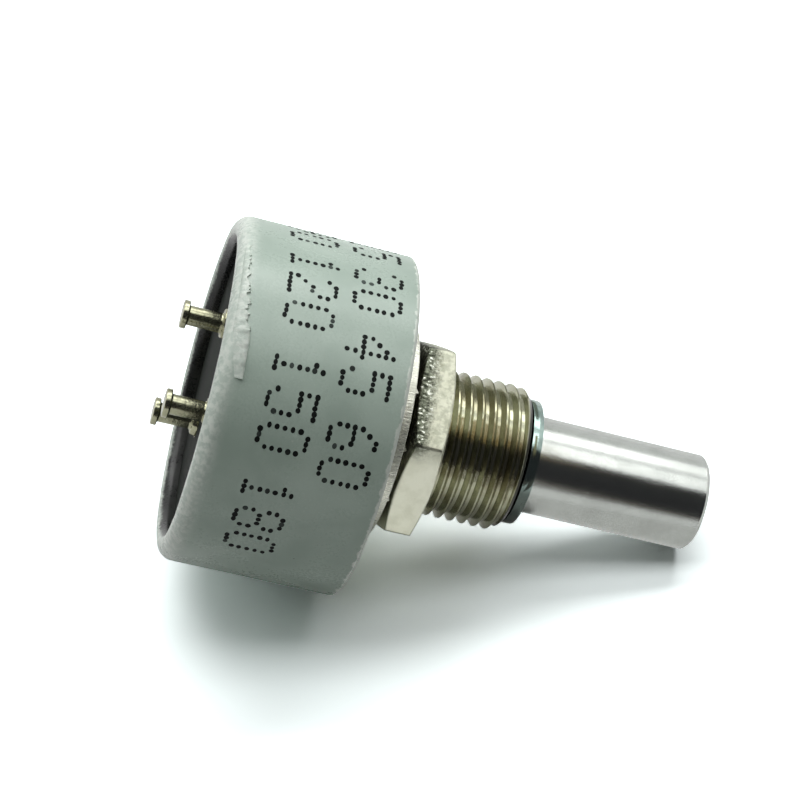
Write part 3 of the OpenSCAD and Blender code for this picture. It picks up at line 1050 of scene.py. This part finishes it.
@dataclass
class Terminals:
    """Three turret terminals with their swaged, tinned feet."""

    circle: float = 4.25
    angles: tuple[float, ...] = (66.4, 161.4, 288.4)
    shank: float = 0.65
    head: float = 0.915
    head_thick: float = 0.38
    foot: float = 1.175
    foot_high: float = 0.4
    tip: float = -13.38
    cover: float = -10.4
    ink: float = -8.32
    rivet: float = 1.0
    rivet_high: float = 0.22
    steps: int = 64

    def outline(self) -> list[Point]:
        """Gives a turret's outline from its tip to its riveted end.

        Returns:
            Radius and place along the axis of each point.
        """
        neck, ankle, end = self.tip + self.head_thick, self.cover - self.foot_high, self.ink + self.rivet_high
        return fillet([(0, self.tip, 0), (self.head, self.tip, 0.1), (self.head, neck, 0.07),
                       (self.shank, neck, 0.08), (self.shank, ankle, 0.14), (self.foot * 0.86, ankle, 0.16),
                       (self.foot, self.cover, 0.05), (self.shank, self.cover, 0.01),
                       (self.shank, self.ink, 0.01), (self.rivet, self.ink, 0.03),
                       (self.rivet * 0.78, end, 0.08), (0, end, 0)], False)

    def lumps(self, number: int) -> Callable[[float, float, float], Point]:
        """Gives the warp that makes one terminal's foot lumpy.

        Args:
            number: The terminal's number.

        Returns:
            The warp.
        """
        def warp(r: float, x: float, angle: float) -> Point:
            """Pulls the foot in and sets the edges of the head slightly off round."""
            here = Vector((math.cos(angle) * 1.3, math.sin(angle) * 1.3, number * 5.7))
            if r > self.shank + 0.06 and self.cover - 0.5 < x < self.cover:
                pull = 0.5 + 0.5 * noise.noise(here * 1.6)
                sag = 0.12 * max(0.0, noise.noise(here * 2.3))
                return r - 0.26 * pull * (r - self.shank) / 0.5, x + sag
            if r > self.shank - 0.02 and x < self.cover - 0.5:
                return r - 0.012 * (1 + noise.noise(here * 2 + Vector((x, 0, 0)))), x
            return r, x
        return warp

    def dress(self, finish: Metal) -> None:
        """Builds the three terminals.

        Args:
            finish: Their plating.
        """
        material = finish.material()
        for number, angle in enumerate(self.angles, 1):
            turn = math.radians(angle)
            centre = (self.circle * math.cos(turn), self.circle * math.sin(turn))
            skin = lathe(self.outline(), self.steps, False, self.lumps(number), centre)
            made = settle(f"turret_{number}", skin, material)
            place(made, "housing", "terminal_plate", f"terminal_{number}")


@dataclass
class Bushing:
    """The plated bushing with its right-hand thread.

    The numbers in form are the places of a thread's corners, as parts of the pitch.
    """

    radius: float = 4.7625
    length: float = 9.525
    pitch: float = 0.79375
    depth: float = 0.43
    chamfer: float = 0.45
    bore: float = 3.205
    bore_bevel: float = 0.2
    spigot: float = 5.4
    spigot_rear: float = -1.9
    flange: float = 7.0
    flange_rear: float = -2.8
    start: float = 0.95
    run_out: float = 0.6
    wear: float = 0.02
    steps: int = 144
    cuts: int = 12
    spare_turns: int = 3
    form: tuple[float, ...] = (0.125, 0.4375, 0.5625, 0.875, 1.125)

    def pattern(self, material: bpy.types.Material) -> Pattern:
        """Builds the tree that bends a grid into the threaded surface, with its rows along the helix.

        Args:
            material: The plating.

        Returns:
            The tree.
        """
        tree = Pattern("bushing_thread", ("Length", "Radius", "Pitch", "Depth", "Chamfer"))
        length, radius, pitch = (tree.given(label) for label in ("Length", "Radius", "Pitch"))
        rows = (math.ceil(self.length / self.pitch) + self.spare_turns) * self.cuts
        grid = tree.node("GeometryNodeMeshGrid", None,
                         {"Size X": rows, "Size Y": math.tau,
                          "Vertices X": rows + 1, "Vertices Y": self.steps + 1}, "Mesh")
        across, angle, _ = tree.axes(tree.node("GeometryNodeInputPosition"))
        turn = (across + rows / 2).math("ROUND") / self.cuts
        sides = len(self.form) - 1
        part = turn.math("FRACT") * sides
        shape = self.form[0] + sum((part - i).clamp(0.0, 1.0) * (self.form[i + 1] - self.form[i])
                                   for i in range(sides))
        along = (turn.math("FLOOR") + shape - 2 + angle / math.tau + self.start) * pitch
        along = along.clamp(0.0, length)
        ridge = (shape * 2 - 1).math("ABSOLUTE")
        crest = 1 - ((ridge - 0.125) / 0.625).clamp(0.0, 1.0)
        faded = along.step(0.0, self.run_out)
        sine, cosine = angle.math("SINE"), angle.math("COSINE")
        worn = tree.node("ShaderNodeTexNoise", None,
                         {"Vector": tree.joined(along, cosine, sine), "Scale": 3.1, "Detail": 2.0}, "Fac")
        height = radius - tree.given("Depth") * faded * (1 - crest)
        height = height - worn.step(0.58, 0.72) * crest * faded * self.wear
        bevel = (along - length + tree.given("Chamfer")).math("MAXIMUM", 0.0)
        height = height.math("MINIMUM", radius - bevel)
        bent = tree.joined(along * MM, height * cosine * MM, height * sine * MM)
        moved = tree.node("GeometryNodeSetPosition", None, {"Geometry": grid, "Position": bent})
        merged = tree.node("GeometryNodeMergeByDistance", None, {"Geometry": moved, "Distance": MERGE})
        tree.close(merged, material)
        return tree

    def body(self) -> list[Point]:
        """Gives the outline of the rest of the bushing, from the thread's rear to its front.

        Returns:
            Radius and place along the axis of each point.
        """
        return fillet([(self.radius, 0, 0), (self.spigot, 0, 0), (self.spigot, self.spigot_rear, 0),
                       (self.flange, self.spigot_rear, 0.1), (self.flange, self.flange_rear, 0.1),
                       (self.bore, self.flange_rear, 0.05), (self.bore, self.length - self.bore_bevel, 0.03),
                       (self.bore + self.bore_bevel, self.length, 0.03),
                       (self.radius - self.chamfer, self.length, 0)], False, 3)

    def dress(self, finish: Metal) -> None:
        """Builds the thread and the rest as one closed piece.

        Args:
            finish: Its plating.
        """
        material = finish.material()
        thread = self.pattern(material).run("bushing_thread", bpy.data.meshes.new("thread_seed"), {
            "Length": self.length, "Radius": self.radius, "Pitch": self.pitch,
            "Depth": self.depth, "Chamfer": self.chamfer})
        skin = lathe(self.body(), self.steps, False)
        skin.from_mesh(thread.data)
        bpy.data.objects.remove(thread)
        bmesh.ops.remove_doubles(skin, verts=skin.verts, dist=MERGE * 2)
        bmesh.ops.recalc_face_normals(skin, faces=skin.faces)
        place(settle("bushing_body", skin, material, 42), "housing", "bushing_plate", "bushing")


@dataclass
class Nut:
    """The hexagonal nut with bevelled faces and softened corners."""

    flats: float = 11.9
    start: float = 1.64
    thick: float = 2.3
    corner_angle: float = 144.9
    corner_limit: float = 6.86
    softness: float = 24
    hole: float = 4.8125
    countersink: float = 0.3
    bevel: float = 0.15
    slope: float = 17
    least_cut: float = 0.02
    steps: int = 360

    def reach(self, angle: float) -> float:
        """Gives the distance from the axis to the flats, with rounded corners.

        Args:
            angle: Angle round the axis in radians.

        Returns:
            The distance.
        """
        off = (math.degrees(angle) - self.corner_angle) % 60 - 30
        flat = self.flats / 2 / math.cos(math.radians(off))
        k = self.softness
        return -math.log(math.exp(-k * flat) + math.exp(-k * self.corner_limit)) / k

    def skin(self) -> bmesh.types.BMesh:
        """Builds the nut's surface from one rounded outline at each angle.

        Returns:
            The closed skin.
        """
        rows = []
        face, mouth = self.flats / 2 - self.bevel, self.hole + self.countersink
        rear, front = self.start, self.start + self.thick
        for i in range(self.steps):
            angle = math.tau * i / self.steps
            out = self.reach(angle)
            cut = max(self.least_cut, (out - face) * math.tan(math.radians(self.slope)))
            corners = [(self.hole, rear + self.countersink, 0.03), (mouth, rear, 0.03), (face, rear, 0.1),
                       (out, rear + cut, 0.14), (out, front - cut, 0.14), (face, front, 0.1),
                       (mouth, front, 0.03), (self.hole, front - self.countersink, 0.03)]
            turn = Vector((0, math.cos(angle), math.sin(angle)))
            rows.append([(turn * r + Vector((x, 0, 0))) * MM for r, x in fillet(corners, True, 4)])
        return turned(rows, True)

    def dress(self, finish: NutPlate) -> None:
        """Builds the nut in its plating."""
        place(settle("hex_nut", self.skin(), finish.material()), "nut", "nut_plate", "mounting_nut")


@dataclass
class Washer:
    """The internal-tooth lock washer, with its teeth twisted out of the sheet."""

    outer: float = 7.0
    inner: float = 5.9
    sheet: float = 0.8
    height: float = 1.6
    middle: float = 0.82
    tooth_from: float = 4.9625
    tooth_root: float = 0.05
    teeth: int = 10
    twist: float = 28
    broken: float = 0.05
    rolled: float = 0.12
    rough: float = 0.02
    steps: int = 240

    def tooth(self) -> bpy.types.Mesh:
        """Builds one twisted tooth with broken edges, at +Y.

        Returns:
            The tooth's mesh.
        """
        turn = math.radians(self.twist)
        width = (self.height - self.sheet * math.cos(turn)) / math.sin(turn)
        skin = bmesh.new()
        bmesh.ops.create_cube(skin, size=1)
        size = (self.inner + self.tooth_root - self.tooth_from, width, self.sheet)
        bmesh.ops.scale(skin, vec=size, verts=skin.verts)
        bmesh.ops.bevel(skin, geom=list(skin.edges), offset=self.broken, segments=2, profile=0.5,
                        affect="EDGES")
        for vert in skin.verts:
            a, b, c = vert.co
            b, c = b * math.cos(turn) - c * math.sin(turn), b * math.sin(turn) + c * math.cos(turn)
            vert.co = Vector((self.middle + c, a + self.tooth_from + size[0] / 2, b)) * MM
        bmesh.ops.recalc_face_normals(skin, faces=skin.faces)
        mesh = bpy.data.meshes.new("washer_tooth")
        skin.to_mesh(mesh)
        skin.free()
        return mesh

    def pattern(self, material: bpy.types.Material) -> Pattern:
        """Builds the tree that sets the tooth round the axis.

        Args:
            material: The steel.

        Returns:
            The tree.
        """
        tree = Pattern("washer_teeth", ("Teeth",))
        count = tree.given("Teeth")
        line = tree.node("GeometryNodeMeshLine", None, {"Count": count, "Offset": (0, 0, 0)}, "Mesh")
        turn = tree.joined(tree.node("GeometryNodeInputIndex") / count * math.tau)
        ring = tree.node("GeometryNodeInstanceOnPoints", None,
                         {"Points": line, "Instance": tree.given("Geometry"), "Rotation": turn})
        tree.close(ring, material)
        return tree

    def nibble(self, r: float, x: float, angle: float) -> Point:
        """Makes the sheared edge slightly uneven.

        Args:
            r: Radius of a point.
            x: Its place along the axis.
            angle: Its angle in radians.

        Returns:
            The new radius and place.
        """
        if r < self.outer - 0.13:
            return r, x
        here = Vector((math.cos(angle) * 9, math.sin(angle) * 9, x * 2))
        return r - self.rough * (1 + noise.noise(here)), x

    def dress(self, finish: Metal) -> None:
        """Builds the rim and its teeth as one piece.

        Args:
            finish: Its steel.
        """
        material = finish.material()
        teeth = self.pattern(material).run("washer_teeth", self.tooth(), {"Teeth": self.teeth})
        low, high = self.middle - self.sheet / 2, self.middle + self.sheet / 2
        rim = fillet([(self.inner, low, self.broken), (self.outer, low, self.rolled),
                      (self.outer, high, self.rolled / 2), (self.inner, high, self.broken)])
        skin = lathe(rim, self.steps, True, self.nibble)
        skin.from_mesh(teeth.data)
        bpy.data.objects.remove(teeth)
        place(settle("tooth_washer", skin, material, 30), "washer", "washer_steel", "lock_washer")


@dataclass
class Shaft:
    """The ground shaft with its collar, its groove and its flatted rear seat."""

    radius: float = 3.175
    length: float = 22.22
    rear: float = -7.11
    hub: float = -5.31
    seat: float = 2.5
    flat: float = 2.0
    collar: float = 4.3
    collar_ends: Point = (-3.61, -3.11)
    relief: float = 0.25
    relief_ends: Point = (1.7, 5.225)
    groove: float = 2.7
    groove_ends: Point = (9.725, 10.385)
    tip_bevel: float = 0.25
    steps: int = 192

    def outline(self) -> list[Point]:
        """Gives the shaft's outline from its rear end to its tip.

        Returns:
            Radius and place along the axis of each point.
        """
        r, low = self.radius, self.radius - self.relief
        back, front = self.collar_ends
        start, end = self.relief_ends
        slot, edge = self.groove_ends
        return fillet([(0, self.rear, 0), (self.seat, self.rear, 0.03), (self.seat, self.hub, 0.01),
                       (r, self.hub, 0.03), (r, back, 0.02), (self.collar, back, 0.06),
                       (self.collar, front, 0.06), (r, front, 0.02), (r, start, 0.05),
                       (low, start + self.relief, 0.05), (low, end - self.relief, 0.05), (r, end, 0.05),
                       (r, slot, 0.02), (self.groove, slot, 0.02), (self.groove, edge, 0.02), (r, edge, 0.02),
                       (r, self.length - self.tip_bevel, 0.12), (r - self.tip_bevel, self.length, 0.12),
                       (0, self.length, 0)], False)

    def key(self, r: float, x: float, angle: float) -> Point:
        """Cuts the flat of the rear seat.

        Args:
            r: Radius of a point.
            x: Its place along the axis.
            angle: Its angle in radians.

        Returns:
            The new radius and place.
        """
        limit = self.flat / math.cos(angle) if math.cos(angle) > 0.1 else r
        return (min(r, limit), x) if x < self.hub + 0.001 and r <= self.seat else (r, x)

    def dress(self, finish: Metal) -> None:
        """Builds the shaft in its steel."""
        skin = lathe(self.outline(), self.steps, False, self.key)
        place(settle("shaft_body", skin, finish.material(), 25), "rotor_shaft", "shaft_steel", "shaft")


@dataclass
class RetainingRing:
    """The open ring in front of the bushing, with its edges broken."""

    edge: float = 0.06
    flat_angle: float = 0.5
    edge_angle: float = 40

    def dress(self, finish: Metal) -> None:
        """Builds the ring from its CAD shape, merged and softened.

        Args:
            finish: Its steel.
        """
        skin = bmesh.new()
        skin.from_mesh(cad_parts["retaining_ring"].data)
        bmesh.ops.remove_doubles(skin, verts=skin.verts, dist=MERGE * 10)
        bmesh.ops.dissolve_limit(skin, angle_limit=math.radians(self.flat_angle),
                                 verts=skin.verts, edges=skin.edges)
        limit = math.radians(self.edge_angle)
        edges = [e for e in skin.edges if e.is_manifold and e.calc_face_angle(0) > limit]
        bmesh.ops.bevel(skin, geom=edges, offset=self.edge * MM, segments=2, profile=0.5,
                        affect="EDGES", clamp_overlap=True)
        place(settle("ring_body", skin, finish.material(), 30), "rotor_shaft", "ring_steel", "retaining_ring")


@dataclass
class InnerPieces:
    """The CAD nodes that keep their shape and take a finish."""

    finishes: dict[str, Any]

    def dress(self) -> None:
        """Gives each node its material."""
        made: dict[Any, bpy.types.Material] = {}
        for name, finish in self.finishes.items():
            if finish not in made:
                made[finish] = finish.material()
            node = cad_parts[name]
            if not node.material_slots:
                node.data.materials.append(made[finish])
            for slot in node.material_slots:
                slot.material = made[finish]
            LOG.info("%s keeps its CAD shape, in %s", name, made[finish].name)


@dataclass
class Studio:
    """The floor, the softboxes, the cards and the camera, in metres.

    Each of lamp, screen and hood is a distance from the shaft's axis with the first and last place along X.
    """

    tilt: Vector = Vector((-0.337, 0, 0.942))
    touch: float = -0.01111
    floor_half: float = 0.9
    floor_seen: Colour = (1.92, 2.06, 2.06, 1)
    bounce: float = 0.52
    eye: Corner = (-0.02326, -0.1043, 0.0855)
    right: Corner = (0.9542, 0, 0.2993)
    up: Corner = (-0.2317, 0.6330, 0.7386)
    back: Corner = (-0.1895, -0.7740, 0.6040)
    lens: float = 96.28
    sensor: float = 36
    shift: Point = (-0.0283, -0.0170)
    clip: Point = (0.005, 10)
    lamp: Span = (0.5, (-0.62, 0.16))
    screen: Span = (0.6, (-2.0, 2.0))
    hood: Span = (0.045, (0.0108, 0.0192))

    def camera(self) -> None:
        """Sets the camera at the photograph's viewing angle."""
        data = bpy.data.cameras.new("camera")
        data.lens, data.sensor_width = self.lens, self.sensor
        data.shift_x, data.shift_y = self.shift
        data.clip_start, data.clip_end = self.clip
        made = linked("camera", data)
        turn = Matrix((self.right, self.up, self.back)).transposed().to_4x4()
        made.matrix_world = Matrix.Translation(self.eye) @ turn
        bpy.context.scene.camera = made

    def sheet(self, name: str, middle: Vector, across: Vector, up: Vector,
              material: bpy.types.Material) -> bpy.types.Object:
        """Makes one flat sheet of the stage.

        Args:
            name: The sheet's name.
            middle: Its middle.
            across: From its middle to a side.
            up: From its middle to the next side.
            material: Its finish.

        Returns:
            The sheet.
        """
        corners = [middle + across * a + up * b for a, b in ((-1, -1), (1, -1), (1, 1), (-1, 1))]
        mesh = bpy.data.meshes.new(name)
        mesh.from_pydata(corners, [], [(0, 1, 2, 3)])
        mesh.materials.append(material)
        made = linked(name, mesh)
        return made

    def floor(self) -> None:
        """Lays the white floor, which shows from above only and has three even tones that metal mirrors."""
        paint = bpy.data.materials.new("floor_white")
        tree = Graph.fresh(paint)
        path = tree.node("ShaderNodeLightPath", None, None, "Is Camera Ray")
        haze = tree.node("ShaderNodeTexNoise", None, {"Scale": 6.0}, "Fac")
        white = tree.blend(haze * 0.5, grey(0.9), (0.92, 0.92, 0.915, 1))
        white = tree.blend(path.also("Is Diffuse Ray"), white, grey(self.bounce))
        front = tree.node("ShaderNodeBsdfDiffuse", None, {"Color": tree.blend(path, white, self.floor_seen)})
        gloss = path.also("Is Glossy Ray") * (path.also("Diffuse Depth") < 0.5)
        x, y, _ = tree.axes(tree.node("ShaderNodeNewGeometry", None, None, "Position"))
        near, slant = -0.034, 0.2588
        before_shaft = (y < near) * (x > 0.0113 - (y - near) * slant)
        before_nut = x.between(0.0028, 0.007) * y.between(near, -0.01)
        under_shaft = x.between(0.0128, 0.0262) * y.between(-0.012, 0.003)
        for zone, level in ((before_shaft, (0.11, 0.095, 0.085, 1)), (before_nut, (0.78, 0.78, 0.75, 1)),
                            (under_shaft, (0.62, 0.62, 0.61, 1))):
            even = tree.node("ShaderNodeEmission", None, {"Color": level})
            front = tree.node("ShaderNodeMixShader", None, {0: gloss * zone, 1: front, 2: even})
        clear = tree.node("ShaderNodeBsdfTransparent")
        behind = tree.node("ShaderNodeNewGeometry", None, None, "Backfacing")
        side = tree.node("ShaderNodeMixShader", None, {0: behind, 1: front, 2: clear})
        tree.node("ShaderNodeOutputMaterial", None, {"Surface": side})
        along = Vector((0, 1, 0)).cross(self.tilt.normalized()).normalized()
        made = self.sheet("floor", Vector((0, 0, self.touch)), along * self.floor_half,
                          Vector((0, self.floor_half, 0)), paint)
        LOG.info("floor laid, facing %s", tuple(round(v, 3) for v in made.data.polygons[0].normal))

    def glow(self, name: str, level: Colour, mirrored: bool) -> bpy.types.Material:
        """Makes the even glow of a card.

        Args:
            name: The material's name.
            level: Its brightness.
            mirrored: Whether it glows only where the camera sees it in gloss.

        Returns:
            The material.
        """
        paint = bpy.data.materials.new(name)
        tree = Graph.fresh(paint)
        depth = tree.node("ShaderNodeLightPath", None, None, "Diffuse Depth")
        shine = tree.node("ShaderNodeEmission", None,
                          {"Color": level, "Strength": depth < 0.5 if mirrored else 1.0})
        tree.node("ShaderNodeOutputMaterial", None, {"Surface": shine})
        return paint

    def card(self, name: str, start: float, end: float, level: Colour, span: Span) -> None:
        """Sets a curved card that shows only in gloss.

        Args:
            name: The card's name.
            start: First angle above -Y, in degrees.
            end: Last angle.
            level: Its brightness.
            span: Its distance from the shaft's axis, and its ends along X.
        """
        radius, ends = span
        count, verts, faces = 16, [], []
        for i in range(count + 1):
            angle = math.radians(start + (end - start) * i / count)
            verts += [(x, -radius * math.cos(angle), radius * math.sin(angle)) for x in ends]
            if i:
                faces.append((2 * i - 2, 2 * i - 1, 2 * i + 1, 2 * i))
        mesh = bpy.data.meshes.new(name)
        mesh.from_pydata(verts, [], faces)
        mesh.materials.append(self.glow(name, level, True))
        made = linked(name, mesh)
        made.visible_camera = made.visible_diffuse = made.visible_shadow = False

    def fill_card(self, name: str, centre: Corner, half: float, level: float) -> None:
        """Stands a white card, square to the part, that lights matt surfaces only.

        Args:
            name: The card's name.
            centre: Its middle.
            half: Half its width and height.
            level: Its brightness.
        """
        middle = Vector(centre)
        across = middle.cross(Vector((0, 0, 1))).normalized() * half
        up = across.cross(middle).normalized() * half
        made = self.sheet(name, middle, across, up, self.glow(name, grey(level), False))
        made.visible_camera = made.visible_glossy = made.visible_shadow = False

    def softbox(self, name: str, start: float, end: float, level: float, mirror: float) -> None:
        """Hangs a softbox that spans an angle round the shaft's axis, with a card for its mirror image.

        Args:
            name: The lamp's name.
            start: First angle above -Y, in degrees.
            end: Last angle.
            level: Its brightness on matt surfaces.
            mirror: Its brightness in gloss.
        """
        radius, ends = self.lamp
        middle = math.radians((start + end) / 2)
        wide = 2 * radius * math.tan(math.radians(end - start) / 2)
        long = ends[1] - ends[0]
        data = bpy.data.lights.new(name, "AREA")
        data.shape, data.size, data.size_y = "RECTANGLE", long, wide
        data.energy = math.pi * long * wide * level
        made = linked(name, data)
        back = Vector((0, -math.cos(middle), math.sin(middle)))
        across = Vector((1, 0, 0))
        turn = Matrix((across, back.cross(across), back)).transposed().to_4x4()
        made.matrix_world = Matrix.Translation(back * radius + Vector((sum(ends) / 2, 0, 0))) @ turn
        made.visible_glossy = False
        self.card(f"{name}_mirror", start, end, grey(mirror), self.lamp)

    def world(self, soft: float) -> None:
        """Sets a white surround that metal shows too.

        Args:
            soft: Its level as light on a matt surface.
        """
        world = bpy.data.worlds.new("white_surround")
        bpy.context.scene.world = world
        tree = Graph.fresh(world)
        camera = tree.node("ShaderNodeLightPath", None, None, "Is Camera Ray")
        first = camera.also("Diffuse Depth") < 0.5
        rays = camera + camera.also("Is Glossy Ray") + camera.also("Is Transmission Ray")
        seen = rays.math("MINIMUM", 1.0)
        fill, white = (tree.node("ShaderNodeBackground", None, {"Color": grey(level), "Strength": 1.0})
                       for level in (soft, 1.0))
        both = tree.node("ShaderNodeMixShader", None, {0: seen * first, 1: fill, 2: white})
        tree.node("ShaderNodeOutputWorld", None, {"Surface": both})

    def build(self) -> None:
        """Builds the whole studio."""
        bpy.context.scene.view_settings.view_transform = "Standard"
        self.camera()
        self.floor()
        self.world(soft=0.05)
        self.softbox("front_softbox", start=74, end=98, level=1.7, mirror=2.7)
        self.softbox("rear_softbox", start=109, end=132, level=4.2, mirror=3.7)
        self.card("dark_card", 7, 69, (0.03, 0.03, 0.032, 1), self.screen)
        self.card("warm_card", -1, 7, (0.1, 0.085, 0.075, 1), self.screen)
        self.card("grey_card", 137, 180, grey(0.8), self.screen)
        self.card("thread_hood", 122, 182, (0.24, 0.245, 0.2, 1), self.hood)
        self.card("bronze_card", 57, 90, (0.44, 0.33, 0.16, 1), self.hood)
        self.fill_card("left_high_card", (-0.45, 0.05, 0.45), half=0.22, level=1.0)
        self.fill_card("left_low_card", (-0.55, 0.0, 0.12), half=0.12, level=1.2)
        self.fill_card("back_card", (0.0, 0.6, 0.3), half=0.25, level=0.7)


def main() -> None:
    """Builds and dresses the potentiometer, piece by piece."""
    logging.basicConfig(level=logging.INFO, format="%(message)s")
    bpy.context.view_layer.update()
    Studio().build()
    CaseShell().dress(CASE_GREY_GREEN, FLASH_PALE)
    DegreePrint().dress(PRINT_BLACK)
    Terminals().dress(TERMINAL_NICKEL)
    Bushing().dress(BUSHING_NICKEL)
    Nut().dress(NUT_CREAM)
    Washer().dress(WASHER_STEEL)
    Shaft().dress(SHAFT_STAINLESS)
    RetainingRing().dress(RING_PASSIVATED)
    InnerPieces(INNER_FINISHES).dress()


if __name__ == "__main__":
    main()
